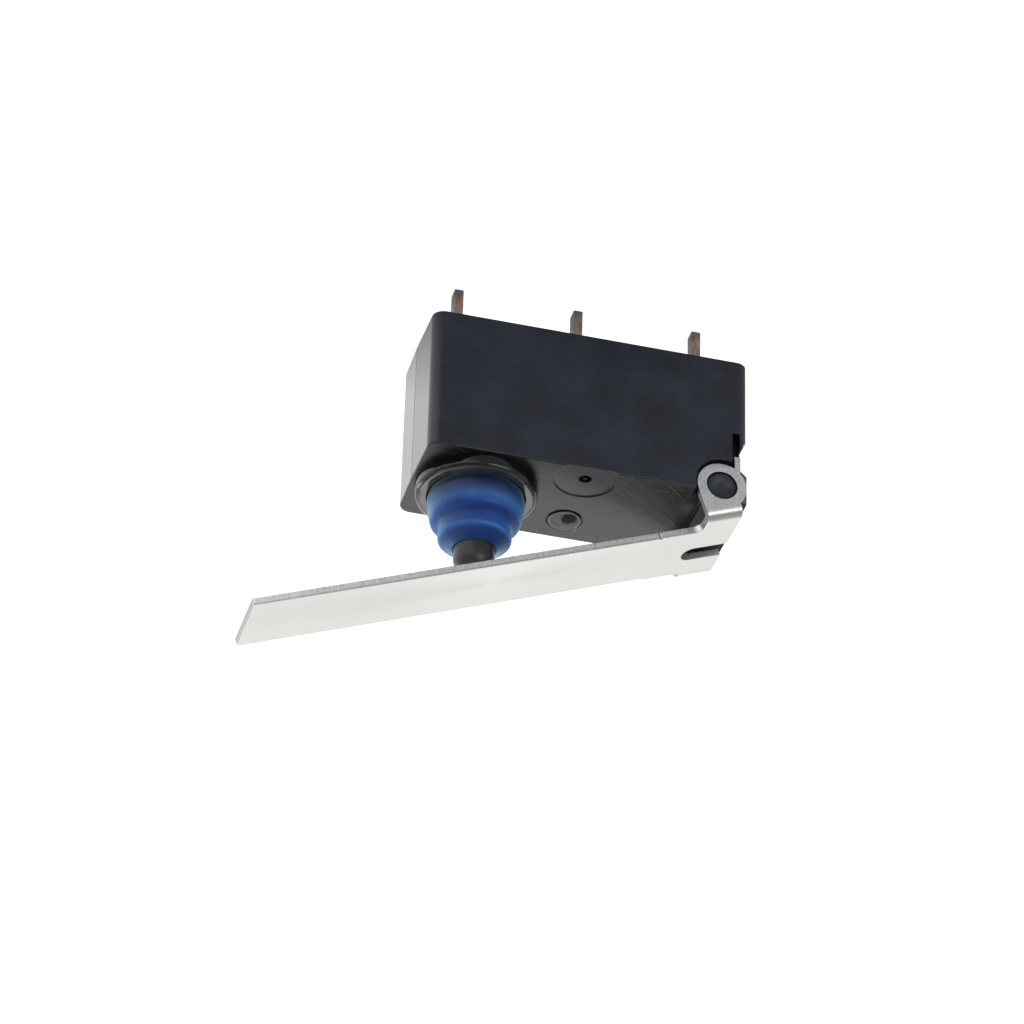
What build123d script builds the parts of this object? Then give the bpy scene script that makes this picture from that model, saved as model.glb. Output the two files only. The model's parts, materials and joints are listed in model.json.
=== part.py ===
from build123d import *
import math
import os

# Sealed ultra-subminiature micro switch with a long hinge lever, sizes in millimetres
# Origin: the common terminal's axis on the case's terminal side, mid-depth
# +Z runs from the terminals to the plunger, +X from the lever pivot to the plunger, -Y is the front face

# Case
case_length = 13.3
case_depth = 5.3
case_height = 6.4
case_corner_r = 0.5
case_draft = 0.05
parting_y = 0.15
wall_mouth = 0.6
wall_side = 0.8
top_wall = 0.8
mouth_height = 0.95
edge_round = 0.06
half_l = case_length / 2
half_d = case_depth / 2
cut_over = 1.0

# Pivot, lug and the pockets that take the lever's ears, set from the pivot
pivot_inset = 1.10
pivot_drop = 0.43
pivot_x = pivot_inset - half_l
pivot_z = case_height - pivot_drop
ear_inset = 0.2
ear_outer_y = half_d - ear_inset
sheet = 0.3
ear_gap = 0.05
lug_half = ear_outer_y - sheet - ear_gap
boss_clearance = 0.03
ear_hole_r = 0.65
boss_r = ear_hole_r - boss_clearance
boss_recess = 0.02
boss_end_y = ear_outer_y - boss_recess
boss_chamfer = 0.07
pocket_r = 1.14
slot_inner_reach = 0.36
slot_outer_reach = 0.70
slot_x_inner = pivot_x - slot_inner_reach
slot_x_outer = pivot_x - slot_outer_reach
slot_level = 0.5453
slot_z_low = slot_level * case_height
slot_floor = 0.39
lower_cavity_top = slot_z_low - slot_floor
lug_wall_reach = 1.45
lug_block_x = pivot_x + lug_wall_reach
end_cut_depth = 1.60
end_chamfer_run = 0.11
end_chamfer_drop = 0.60
end_cut_z = pivot_z - end_cut_depth
end_chamfer_x = end_chamfer_run - half_l
end_chamfer_z = end_cut_z - end_chamfer_drop
lug_end_reach = 0.04
lug_step = 0.05
waist_depth = 0.26
waist_drop = 2.40
waist_rise = 0.40
waist_below = 0.85
waist_return = 0.25
waist_low_z = pivot_z - waist_drop
waist_high_z = pivot_z - waist_below
waist_x = waist_depth - half_l

# Marks on the plunger side
gate_x = -0.03
gate_edge = 0.86
gate_y = gate_edge - half_d
gate_r = 1.27
gate_depth = 0.05
gate_dimple_r = 0.26
gate_dimple_depth = 0.16
gate_nub_r = 0.07
vent_x = -0.02
vent_edge = 1.38
vent_y = half_d - vent_edge
vent_groove_r = 0.75
vent_stub_r = 0.69
vent_groove_depth = 0.05
vent_stub_rise = 0.06
vent_dome_r = 0.55
vent_dome_rise = 0.09

# Lever, in its own frame: u along the arm from the pivot, w square to it
lever_angle = 20.7
plate_inner_w = 1.09
plate_outer_w = plate_inner_w + sheet
ring_r = 1.03
arm_tip_u = 20.29
arm_front_inset = 0.805
arm_back_inset = 0.345
arm_root_u = 2.85
arm_root_extra = 0.1
arm_root_step = 0.02
arm_lap = 0.2
bracket_near_u = 1.05
bracket_far_u = -0.48
bend_inner_r = 0.08
bend_outer_r = bend_inner_r + sheet
arm_corner_r = 0.36
arm_back_corner_r = 0.14
edge_nick_r = 0.06
end_slot_y = 0.38
end_slot_r = 0.46
end_slot_tip_u = 1.43

# Collar and boot flange, set from the case's edges
collar_edge_gap = 0.17
collar_base_r = half_d - collar_edge_gap
collar_band = 0.48
collar_mouth_r = collar_base_r - collar_band
boot_flange_inset = 0.43
boot_flange_r = collar_base_r - boot_flange_inset
boot_flange_width = 0.35
boot_root_r = boot_flange_r - boot_flange_width
collar_lip_reach = 0.18
collar_lip_r = boot_root_r + collar_lip_reach
boot_flange_height = 0.32
collar_fit = 0.01
collar_lip_height = 0.42
collar_height = 0.60
collar_round = 0.22
collar_mouth_round = 0.05
boot_flange_top = case_height + boot_flange_height
collar_lip_top = case_height + collar_lip_height
collar_top = case_height + collar_height

# Plunger: its round end stands just under the lever
plunger_x = half_l - collar_edge_gap - collar_base_r
plunger_r = 0.84
lever_play = 0.0186
lean = math.radians(lever_angle)
dome_rise = (plunger_x - pivot_x) * math.tan(lean)
dome_offset = (plate_inner_w - plunger_r - lever_play) / math.cos(lean)
dome_centre_z = pivot_z + dome_rise + dome_offset
neck_r = 0.70
neck_drop = 0.486
neck_height = 0.39
neck_high_z = dome_centre_z - neck_drop
neck_low_z = neck_high_z - neck_height
guide_clearance = 0.04
flange_r = 1.25
flange_play = 0.05
flange_height = 0.40
flange_top_z = case_height - top_wall - flange_play
flange_low_z = flange_top_z - flange_height
nose_r = 0.55
nose_height = 0.13
nose_end_z = flange_low_z - nose_height

# Boot
boot_lip_height = 0.08
boot_top_z = neck_high_z + boot_lip_height
boot_fit = 0.02
boot_grip = 0.01
boot_wall = 0.28

# Base, resin and terminals: the pins stand on the 5.08 grid
base_low_z = 0.35
base_fit = 0.02
base_corner_r = 0.2
resin_low_z = 0.06
pin_inset = 1.57
pitch = half_l - pin_inset
pin_thick = 0.38
pin_width = 0.56
pin_length = 2.95
pin_tip_round = 0.07
pin_root = 0.1
pad_thick = 0.27
pad_half_y = 0.55
pad_length = 1.05
pad_corner_r = 0.15
contact_disc_r = 0.42
contact_round = 0.06
contact_play = 0.02
contact_gap = 0.45
fixed_disc_height = 0.28

# Contact arm and its rivets
arm_low_z = 2.3
arm_thick = 0.2
arm_end = 0.05
arm_half_x = pitch + contact_disc_r + arm_end
arm_end_r = 0.5
rivet_face_height = 0.35
rivet_low_z = arm_low_z - rivet_face_height
rivet_neck_r = 0.2
rivet_head_r = 0.32
rivet_head_h = 0.12
rivet_round = 0.08
rivet_head_round = 0.05
hook_hole_r = 0.12
hook_hole_edge = 0.2
hook_round = 0.04
nc_fixed_top = rivet_low_z - contact_play
no_fixed_top = nc_fixed_top - contact_gap
nc_pad_low = nc_fixed_top - fixed_disc_height - pad_thick

# Common frame and drive arm, set from the case's inner sides
rail_side_gap = 0.25
rail_thick = 0.2
rail_y_in = half_d - wall_side - rail_side_gap - rail_thick
frame_gap = 0.05
frame_low_z = mouth_height
frame_thick = 0.25
frame_top_z = frame_low_z + frame_thick
frame_half_y = rail_y_in - frame_gap
frame_corner_r = 0.2
drive_pivot_x = -2.4
drive_pivot_z = 1.32
frame_end = 0.35
frame_x_left = drive_pivot_x - frame_end
ear_thick = 0.25
stub_r = 0.2
stub_clearance = 0.03
drive_boss = 0.13
knife_x = 0.8
knife_thick = 0.25
knife_inset = 0.25
knife_width = 0.44
knife_y_out = frame_half_y - knife_inset
knife_y_in = knife_y_out - knife_width
knife_tip_r = 0.05
knife_taper = 0.3
knife_play = 0.02
knife_end = 0.3
frame_x_right = knife_x + knife_end
groove_depth = 0.09
groove_mouth = 0.12
groove_root = 0.04
arm_side_gap = 0.2
arm_half_y = frame_half_y - arm_side_gap
bridge_play = 0.02
bridge_top_z = nose_end_z - bridge_play
bridge_thick = 0.25
bridge_before = 0.7
bridge_after = 0.6
bridge_left = plunger_x - bridge_before
bridge_right = plunger_x + bridge_after
rail_ramp = 0.4
rail_toe = 0.2
rail_lip = 0.1
rail_depth = 0.25
tongue_offset = 0.4
tongue_x = plunger_x - tongue_offset
tongue_thick = 0.2
tongue_half_y = 0.35
tongue_low_z = 2.9
tongue_hole_z = 3.1
window_start = 0.65
window_end = 0.65
window_half_y = 0.6
window_corner_r = 0.15
window_left = drive_pivot_x + window_start
window_right = tongue_x + window_end

# Snap spring
wire = 0.12
loop_r = 0.2
loop_drop = 0.15
hook_edge = 0.03
spring_lead = 0.25
coil_r = 0.34
coil_turns = 9
spring_left = (window_left - hook_edge, arm_low_z + arm_thick / 2)
spring_right = (tongue_x, tongue_hole_z - loop_drop)

os.makedirs("parts", exist_ok=True)


def save(shape, name):
    # one solid per node
    solids = shape.solids()
    whole = solids[0] if len(solids) == 1 else shape
    export_step(whole, f"parts/{name}.step")


def block(x0, x1, y0, y1, z0, z1):
    # a box between two corners
    centre = ((x0 + x1) / 2, (y0 + y1) / 2, (z0 + z1) / 2)
    return Pos(*centre) * Box(x1 - x0, y1 - y0, z1 - z0)


def rod(x, y, r, z0, z1):
    # a cylinder along Z between two heights
    return Pos(x, y, (z0 + z1) / 2) * Cylinder(r, z1 - z0)


def side_profile(points, y0, y1):
    # a closed outline in X and Z, extruded between two depths
    face = make_face(Plane.XZ * Polyline(*points, close=True))
    return Pos(0, y1, 0) * extrude(face, amount=y1 - y0, dir=(0, -1, 0))


def cross_rod(x, z, r, y0, y1):
    # a cylinder along Y between two depths
    return Pos(x, (y0 + y1) / 2, z) * Rot(90, 0, 0) * Cylinder(r, abs(y1 - y0))


def both_sides(solid):
    # the solid and its mirror image across the middle plane
    return solid + mirror(solid, about=Plane.XZ)


# Housing: moulded shell, drafted each way from the parting line at its ends
end_x = half_l - case_draft
plan = Polyline(
    (end_x, -half_d),
    (half_l, parting_y),
    (end_x, half_d),
    (-end_x, half_d),
    (-half_l, parting_y),
    (-end_x, -half_d),
    close=True,
)
shell = extrude(make_face(plan), amount=case_height)
corners = shell.edges().filter_by(Axis.Z).filter_by(lambda e: abs(e.center().Y) > half_d - case_corner_r)
shell = fillet(corners, case_corner_r)
shell = fillet(shell.faces().sort_by(Axis.Z)[-1].edges(), edge_round)

# Lug between the ears, rounded to stay under the swinging plate
lug_crown = [(-0.972, 0.651), (-0.862, 0.688), (-0.367, 0.908), (0.321, 0.927), (0.642, 0.670)]
lug_end_x = -half_l - lug_end_reach
lug_outline = [(lug_end_x, lower_cavity_top), (lug_end_x, case_height + lug_step)]
lug_outline += [(pivot_x + plate_inner_w * x, pivot_z + plate_inner_w * z) for x, z in lug_crown]
lug_outline += [(pivot_x + 0.688 * plate_inner_w, lower_cavity_top)]
lug = side_profile(lug_outline, -lug_half, lug_half)
shell = shell + lug

# Ear pocket, tail slot and the cut-away end, on both sides
outside = half_d + cut_over
pocket = cross_rod(pivot_x, pivot_z, pocket_r, -outside, -lug_half)
pocket_end = -half_l - cut_over
above = case_height + cut_over
pocket = pocket + block(pocket_end, pivot_x + pocket_r, -outside, -lug_half, pivot_z, above)
tail_slot = block(slot_x_outer, slot_x_inner, -outside, -lug_half, slot_z_low, pivot_z)
end_cut_outline = [
    (-half_l - cut_over, end_chamfer_z - 2 * cut_over),
    (end_chamfer_x, end_chamfer_z),
    (slot_x_outer, end_cut_z),
    (slot_x_outer, pivot_z),
    (-half_l - cut_over, pivot_z),
]
end_cut = side_profile(end_cut_outline, -outside, -lug_half)
shell = shell - both_sides(pocket + tail_slot + end_cut)

# Waist across the case end, below the lug
waist_outline = [
    (-half_l - cut_over, mouth_height),
    (-half_l, mouth_height),
    (-half_l, waist_low_z),
    (waist_x, waist_low_z + waist_rise),
    (waist_x, waist_high_z - waist_return),
    (-half_l, waist_high_z),
    (-half_l - cut_over, waist_high_z),
]
shell = shell - side_profile(waist_outline, -outside, outside)

# Pivot bosses with a lead-in chamfer
boss = cross_rod(pivot_x, pivot_z, boss_r, -boss_end_y, -lug_half)
boss = chamfer(boss.edges().group_by(Axis.Y)[0], boss_chamfer)
shell = shell + both_sides(boss)

# Hollow inside: mouth for the base, lower chamber and the higher chamber beside the lug
mouth_x = half_l - wall_mouth
mouth_y = half_d - wall_mouth
room_x = half_l - wall_side
room_y = half_d - wall_side
room_top = case_height - top_wall
hollow = block(-mouth_x, mouth_x, -mouth_y, mouth_y, -cut_over, mouth_height)
hollow = hollow + block(-room_x, room_x, -room_y, room_y, 0, lower_cavity_top)
hollow = hollow + block(lug_block_x, room_x, -room_y, room_y, 0, room_top)
shell = shell - hollow
guide_r = plunger_r + guide_clearance
shell = shell - rod(plunger_x, 0, guide_r, room_top - top_wall, case_height + cut_over)

# Gate recess with the broken gate's dimple and nub
gate_floor = case_height - gate_depth
gate = rod(gate_x, gate_y, gate_r, gate_floor, above)
gate = gate + rod(gate_x, gate_y, gate_dimple_r, gate_floor - gate_dimple_depth, above)
gate = gate - rod(gate_x, gate_y, gate_nub_r, room_top, gate_floor)

# Vent stub melted shut: a low button with a domed middle, in its round groove
vent_ledge = case_height + vent_stub_rise
vent_stub = rod(vent_x, vent_y, vent_stub_r, case_height - top_wall / 2, vent_ledge)
vent_stub = fillet(vent_stub.edges().group_by(Axis.Z)[-1], vent_stub_rise / 2)
vent_ball_r = (vent_dome_r**2 + vent_dome_rise**2) / (2 * vent_dome_rise)
vent_dome = Pos(vent_x, vent_y, vent_ledge + vent_dome_rise - vent_ball_r) * Sphere(vent_ball_r)
vent_dome = vent_dome & rod(vent_x, vent_y, vent_dome_r, case_height - top_wall / 2, above)
vent = rod(vent_x, vent_y, vent_groove_r, case_height - vent_groove_depth, above)
housing = shell - gate - vent + vent_stub + vent_dome
save(housing, "housing")

# Lever: channel for the bracket, ears cut to their outline, one straight arm
def to_lever(x, z):
    # a point beside the pivot at rest, in units of the ring, into the lever's own u and w
    along = x * math.cos(lean) + z * math.sin(lean)
    square = z * math.cos(lean) - x * math.sin(lean)
    return (ring_r * along, ring_r * square)


bend_w = plate_outer_w - bend_outer_r
channel_outer = Pos(0, bend_w) * Rectangle(2 * ear_outer_y, 2 * bend_outer_r)
channel_outer = fillet(channel_outer.vertices().group_by(Axis.Y)[-1], bend_outer_r)
ear_inner_y = ear_outer_y - sheet
channel_inner = Pos(0, bend_w) * Rectangle(2 * ear_inner_y, 2 * bend_inner_r)
channel_inner = fillet(channel_inner.vertices().group_by(Axis.Y)[-1], bend_inner_r)
channel_floor = Pos(0, bend_w - bend_outer_r) * Rectangle(3 * ear_outer_y, 2 * bend_outer_r)
section = channel_outer - channel_inner - channel_floor
bracket_plane = Plane(origin=(bracket_far_u, 0, 0), x_dir=(0, 1, 0), z_dir=(1, 0, 0))
bracket = extrude(bracket_plane * section, amount=bracket_near_u - bracket_far_u)

neck = [
    (bracket_near_u, bend_w),
    (bracket_far_u, bend_w),
    (bracket_far_u, 0),
    (ring_r, -0.019 * ring_r),
]
tail_tip = [to_lever(-0.495, -1.427), to_lever(-0.750, -1.427)]
tail_outer = [to_lever(-0.745, -0.640)]
tail_inner = [to_lever(-0.340, 0.029), to_lever(-0.388, -0.699), to_lever(-0.524, -0.942)]
ear = side_profile(neck, -ear_outer_y, -ear_inner_y)
ear = ear + side_profile(tail_tip + tail_outer + tail_inner, -ear_outer_y, -ear_inner_y)
ear = ear + cross_rod(0, 0, ring_r, -ear_outer_y, -ear_inner_y)
ear = ear - cross_rod(0, 0, ear_hole_r, -ear_outer_y - cut_over, 0)

arm_y0 = arm_front_inset - ear_inner_y
arm_y1 = ear_inner_y - arm_back_inset
arm = block(bracket_near_u - arm_lap, arm_tip_u, arm_y0, arm_y1, plate_inner_w, plate_outer_w)
root_y0 = arm_y0 - arm_root_step
root_y1 = arm_y1 + arm_root_extra
root = block(bracket_near_u - arm_lap, arm_root_u, root_y0, root_y1, plate_inner_w, plate_outer_w)
lever = bracket + both_sides(ear) + arm + root
upright = lever.edges().filter_by(Axis.Z).filter_by(lambda e: e.center().Z > plate_inner_w)
at_bracket = upright.filter_by(lambda e: abs(e.center().X - bracket_near_u) < sheet / 10)
at_arm = at_bracket.filter_by(lambda e: abs(e.center().Y) < ear_inner_y - sheet / 2)
lever = fillet(at_arm.sort_by(Axis.Y)[0], arm_corner_r)
upright = lever.edges().filter_by(Axis.Z).filter_by(lambda e: e.center().Z > plate_inner_w)
at_bracket = upright.filter_by(lambda e: abs(e.center().X - bracket_near_u) < sheet / 10)
at_arm = at_bracket.filter_by(lambda e: 0 < e.center().Y < ear_inner_y - sheet / 2)
lever = fillet(at_arm, arm_back_corner_r)
nick = Pos(arm_root_u, root_y0, plate_outer_w) * Cylinder(edge_nick_r, 4 * sheet)
nick = nick + Pos(arm_root_u, root_y1, plate_outer_w) * Cylinder(edge_nick_r, 4 * sheet)
lever = lever - nick
slot_w = (plate_inner_w + plate_outer_w) / 2
slot_mid_u = end_slot_tip_u - end_slot_r
slot_low = slot_w - sheet
slot_high = slot_w + sheet
end_slot = Pos(slot_mid_u, end_slot_y, slot_w) * Cylinder(end_slot_r, slot_high - slot_low)
open_end = bracket_far_u - cut_over
slot_y0 = end_slot_y - end_slot_r
slot_y1 = end_slot_y + end_slot_r
end_slot = end_slot + block(open_end, slot_mid_u, slot_y0, slot_y1, slot_low, slot_high)
lever = lever - end_slot
lever = Pos(pivot_x, 0, pivot_z) * Rot(0, -lever_angle, 0) * lever
save(lever, "lever")

# Plunger: turned form, round end, groove for the boot, flange that stops it inside
half_section = [
    (0, nose_end_z),
    (nose_r, nose_end_z),
    (nose_r, flange_low_z),
    (flange_r, flange_low_z),
    (flange_r, flange_top_z),
    (plunger_r, flange_top_z),
    (plunger_r, neck_low_z),
    (neck_r, neck_low_z),
    (neck_r, neck_high_z),
    (plunger_r, neck_high_z),
    (plunger_r, dome_centre_z),
    (0, dome_centre_z),
]
stem = revolve(make_face(Plane.XZ * Polyline(*half_section, close=True)), Axis.Z)
dome_align = (Align.CENTER, Align.CENTER, Align.MIN)
dome = Pos(0, 0, dome_centre_z) * Sphere(plunger_r, arc_size1=0, align=dome_align)
plunger = Pos(plunger_x, 0, 0) * (stem + dome)
save(plunger, "plunger")

# Boot: revolved bellows, its flange under the collar and its lip in the plunger's groove
lip_r = plunger_r + boot_fit
lip_grip_r = neck_r + boot_grip
lip_low = neck_low_z + boot_fit
lip_high = neck_high_z - boot_fit
boot_inner_r = boot_root_r - boot_wall
lip_foot_r = plunger_r + 2 * boot_fit
wave_r = boot_root_r - plunger_r
wave_z = boot_top_z - boot_flange_top


def wave(shares):
    # bellows points given as shares of the boot's reach and of its free height
    return [(plunger_r + wave_r * r, boot_flange_top + wave_z * z) for r, z in shares]


outer_shares = [(1.233, 0.078), (1.314, 0.170), (1.297, 0.259), (1.233, 0.356), (1.169, 0.444)]
outer_shares += [(1.105, 0.511), (1.047, 0.546), (0.942, 0.573), (0.791, 0.604), (0.700, 0.637)]
outer_shares += [(0.692, 0.674), (0.721, 0.730), (0.752, 0.789), (0.738, 0.833), (0.669, 0.863)]
outer_shares += [(0.523, 0.893), (0.326, 0.937), (0.151, 0.974)]
inner_shares = [(0.209, 0.793), (0.419, 0.733), (0.442, 0.659), (0.558, 0.585), (0.826, 0.493)]
inner_shares += [(0.977, 0.326), (1.0, 0.178), (0.884, 0.085)]
outer_wave = Spline((boot_root_r, boot_flange_top), *wave(outer_shares), (lip_r, boot_top_z))
inner_wave = Spline(*wave(inner_shares), (boot_inner_r, boot_flange_top))
boot_section = [
    outer_wave,
    Line((lip_r, boot_top_z), (lip_r, lip_high)),
    Line((lip_r, lip_high), (lip_grip_r, lip_high)),
    Line((lip_grip_r, lip_high), (lip_grip_r, lip_low)),
    Line((lip_grip_r, lip_low), (lip_foot_r, lip_low)),
    Line((lip_foot_r, lip_low), wave(inner_shares)[0]),
    inner_wave,
    Line((boot_inner_r, boot_flange_top), (boot_inner_r, case_height)),
    Line((boot_inner_r, case_height), (boot_flange_r, case_height)),
    Line((boot_flange_r, case_height), (boot_flange_r, boot_flange_top)),
    Line((boot_flange_r, boot_flange_top), (boot_root_r, boot_flange_top)),
]
boot_face = make_face(Plane.XZ * Wire(boot_section))
boot = Pos(plunger_x, 0, 0) * revolve(boot_face, Axis.Z)
save(boot, "boot")

# Collar: one broad ring with a well rounded rim and a flared mouth
collar_section = [
    (boot_flange_r + collar_fit, case_height),
    (collar_base_r, case_height),
    (collar_base_r, collar_top),
    (collar_mouth_r, collar_top),
    (collar_lip_r, collar_lip_top),
    (collar_lip_r, boot_flange_top + collar_fit),
    (boot_flange_r + collar_fit, boot_flange_top + collar_fit),
]
collar = revolve(make_face(Plane.XZ * Polyline(*collar_section, close=True)), Axis.Z)
collar = fillet(collar.edges().group_by(Axis.Z)[-1].sort_by(lambda e: e.radius)[-1], collar_round)
collar = fillet(collar.edges().group_by(Axis.Z)[-1].sort_by(lambda e: e.radius)[0], collar_mouth_round)
collar = Pos(plunger_x, 0, 0) * collar
save(collar, "collar")


def pin(x, top):
    # a terminal's leg with rounded tip edges
    leg = block(x - pin_thick / 2, x + pin_thick / 2, -pin_width / 2, pin_width / 2, -pin_length, top)
    return fillet(leg.edges().group_by(Axis.Z)[0], pin_tip_round)


# Terminals: the two end ones carry pads, the middle one spreads into the common frame
no_x = -pitch
nc_x = pitch


def pad(x, low):
    # a terminal's flat end that carries its fixed contact
    plate = block(x - pad_length / 2, x + pad_length / 2, -pad_half_y, pad_half_y, low, low + pad_thick)
    return fillet(plate.edges().filter_by(Axis.Z), pad_corner_r)


no_terminal = pin(no_x, frame_low_z + pin_root) + pad(no_x, frame_low_z)
save(no_terminal, "no_terminal")
nc_terminal = pin(nc_x, nc_pad_low + pin_root) + pad(nc_x, nc_pad_low)
save(nc_terminal, "nc_terminal")

spread = block(frame_x_left, frame_x_right, -frame_half_y, frame_half_y, frame_low_z, frame_top_z)
spread = fillet(spread.edges().filter_by(Axis.Z), frame_corner_r)
pivot_ear = side_profile(
    [
        (drive_pivot_x - 1.6 * stub_r, frame_low_z + pin_root),
        (drive_pivot_x + 1.6 * stub_r, frame_low_z + pin_root),
        (drive_pivot_x + 1.3 * stub_r, drive_pivot_z + 1.3 * stub_r),
        (drive_pivot_x - 1.3 * stub_r, drive_pivot_z + 1.3 * stub_r),
    ],
    -frame_half_y,
    -frame_half_y + ear_thick,
)
stub_end = -frame_half_y + ear_thick
pivot_stub = cross_rod(drive_pivot_x, drive_pivot_z, stub_r, -rail_y_in - rail_thick, stub_end)
knife_tip_z = arm_low_z + groove_depth - knife_play
knife_axis_z = knife_tip_z - knife_tip_r
knife = side_profile(
    [
        (knife_x - knife_thick / 2, frame_low_z + pin_root),
        (knife_x + knife_thick / 2, frame_low_z + pin_root),
        (knife_x + knife_thick / 2, knife_tip_z - knife_taper),
        (knife_x + knife_tip_r, knife_axis_z),
        (knife_x - knife_tip_r, knife_axis_z),
        (knife_x - knife_thick / 2, knife_tip_z - knife_taper),
    ],
    -knife_y_out,
    -knife_y_in,
)
knife = knife + cross_rod(knife_x, knife_axis_z, knife_tip_r, -knife_y_out, -knife_y_in)
com_terminal = pin(0, frame_low_z + pin_root) + spread + both_sides(pivot_ear + pivot_stub + knife)
save(com_terminal, "com_terminal")

# Fixed contacts on the pads
no_fixed = rod(no_x, 0, contact_disc_r, frame_low_z + pad_thick, no_fixed_top)
no_fixed = fillet(no_fixed.edges().group_by(Axis.Z)[-1], contact_round)
save(no_fixed, "no_fixed_contact")
nc_fixed = rod(nc_x, 0, contact_disc_r, nc_pad_low + pad_thick, nc_fixed_top)
nc_fixed = fillet(nc_fixed.edges().group_by(Axis.Z)[-1], contact_round)
save(nc_fixed, "nc_fixed_contact")

# Base: moulded round the terminals, with a pedestal under the raised pad
base_x = mouth_x - base_fit
base_y = mouth_y - base_fit
base = block(-base_x, base_x, -base_y, base_y, base_low_z, frame_low_z)
base = fillet(base.edges().filter_by(Axis.Z), base_corner_r)
pad_x0 = nc_x - pad_length / 2
pad_x1 = nc_x + pad_length / 2
base = base + block(pad_x0, pad_x1, -pad_half_y, pad_half_y, frame_low_z, nc_pad_low)
resin = block(-mouth_x, mouth_x, -mouth_y, mouth_y, resin_low_z, base_low_z)
for x in (no_x, 0, nc_x):
    passage = block(x - pin_thick / 2, x + pin_thick / 2, -pin_width / 2, pin_width / 2, -cut_over, nc_pad_low)
    base = base - passage
    resin = resin - passage
save(base, "base")
save(resin, "epoxy_seal")

# Contact arm: blade with a window for the spring and grooves for the knife edges
blade = block(-arm_half_x, arm_half_x, -arm_half_y, arm_half_y, arm_low_z, arm_low_z + arm_thick)
blade = fillet(blade.edges().filter_by(Axis.Z), arm_end_r)
below_arm = arm_low_z - cut_over
above_arm = arm_low_z + cut_over
window = block(window_left, window_right, -window_half_y, window_half_y, below_arm, above_arm)
window = fillet(window.edges().filter_by(Axis.Z), window_corner_r)
groove = side_profile(
    [
        (knife_x - groove_mouth, arm_low_z),
        (knife_x + groove_mouth, arm_low_z),
        (knife_x + groove_root, arm_low_z + groove_depth),
        (knife_x - groove_root, arm_low_z + groove_depth),
    ],
    -arm_half_y - cut_over,
    arm_half_y + cut_over,
)
hook_hole = rod(window_left - hook_hole_edge, 0, hook_hole_r, below_arm, above_arm)
contact_arm = blade - window - groove - hook_hole
hook_lines = contact_arm.edges().filter_by(Axis.Y)
hook_lines = hook_lines.filter_by(lambda e: abs(e.center().X - window_left) < hook_edge)
contact_arm = fillet(hook_lines, hook_round)
for x in (no_x, nc_x):
    contact_arm = contact_arm - rod(x, 0, rivet_neck_r, below_arm, above_arm)
save(contact_arm, "contact_arm")


def rivet(x):
    # contact rivet: face below the blade, neck through it, head above
    face = rod(x, 0, contact_disc_r, rivet_low_z, arm_low_z)
    face = fillet(face.edges().group_by(Axis.Z)[0], rivet_round)
    neck_part = rod(x, 0, rivet_neck_r, arm_low_z, arm_low_z + arm_thick)
    head = rod(x, 0, rivet_head_r, arm_low_z + arm_thick, arm_low_z + arm_thick + rivet_head_h)
    head = fillet(head.edges().group_by(Axis.Z)[-1], rivet_head_round)
    return face + neck_part + head


save(rivet(no_x), "no_moving_contact")
save(rivet(nc_x), "nc_moving_contact")

# Drive arm: two rails from the common frame's stubs to a bridge under the plunger, with the spring's tongue
bridge_low = bridge_top_z - bridge_thick
rail = side_profile(
    [
        (drive_pivot_x - 1.3 * stub_r, drive_pivot_z + stub_r),
        (bridge_left - rail_ramp, bridge_top_z),
        (bridge_right, bridge_top_z),
        (bridge_right, bridge_low - rail_lip),
        (bridge_left + rail_toe, bridge_low - rail_depth),
        (drive_pivot_x + 1.1 * stub_r, drive_pivot_z - 1.2 * stub_r),
    ],
    -rail_y_in - rail_thick,
    -rail_y_in,
)
rail = rail + cross_rod(drive_pivot_x, drive_pivot_z, stub_r + drive_boss, -rail_y_in - rail_thick, -rail_y_in)
rail = rail - cross_rod(drive_pivot_x, drive_pivot_z, stub_r + stub_clearance, -rail_y_in - cut_over, 0)
bridge = block(bridge_left, bridge_right, -rail_y_in, rail_y_in, bridge_low, bridge_top_z)
tongue_x0 = tongue_x - tongue_thick / 2
tongue_x1 = tongue_x + tongue_thick / 2
tongue = block(tongue_x0, tongue_x1, -tongue_half_y, tongue_half_y, tongue_low_z, bridge_low)
tongue_hole = Pos(tongue_x, 0, tongue_hole_z) * Rot(0, 90, 0) * Cylinder(hook_hole_r, 2 * tongue_thick)
drive_arm = both_sides(rail) + bridge + tongue - tongue_hole
save(drive_arm, "drive_arm")

# Snap spring: close coil with a loop at each end, built along X and tilted into place
span_x = spring_right[0] - spring_left[0]
span_z = spring_right[1] - spring_left[1]
span = math.hypot(span_x, span_z)
tilt = math.degrees(math.atan2(span_z, span_x))
lead = loop_r + spring_lead
coil_length = span - 2 * lead
coil = Helix(pitch=coil_length / coil_turns, height=coil_length, radius=coil_r)
coil_start = coil @ 0
coil_way = coil % 0
coil_end = coil @ 1
wire_face = Plane(origin=coil_start, z_dir=coil_way) * Circle(wire / 2)
coil_body = sweep(wire_face, path=coil, is_frenet=True)
lay = Pos(lead, 0, 0) * Rot(0, 90, 0)
coil_body = lay * coil_body
loop = Rot(90, 0, 0) * Torus(loop_r, wire / 2)
spring = coil_body + loop + Pos(span, 0, 0) * loop
for at, way in ((coil_start, 1), (coil_end, -1)):
    top = (lay * Pos(at.X, at.Y, at.Z)).position
    hub_x = loop_r if way == 1 else span - loop_r
    arm_path = Line((hub_x - way * wire / 6, 0, 0), (top.X, top.Y, top.Z))
    arm_face = Plane(origin=arm_path @ 0, z_dir=arm_path % 0) * Circle(wire / 2)
    spring = spring + sweep(arm_face, path=arm_path) + Pos(top) * Sphere(wire / 2)
spring = Pos(spring_left[0], 0, spring_left[1]) * Rot(0, -tilt, 0) * spring
save(spring, "snap_spring")
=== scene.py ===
import json
import math

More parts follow.
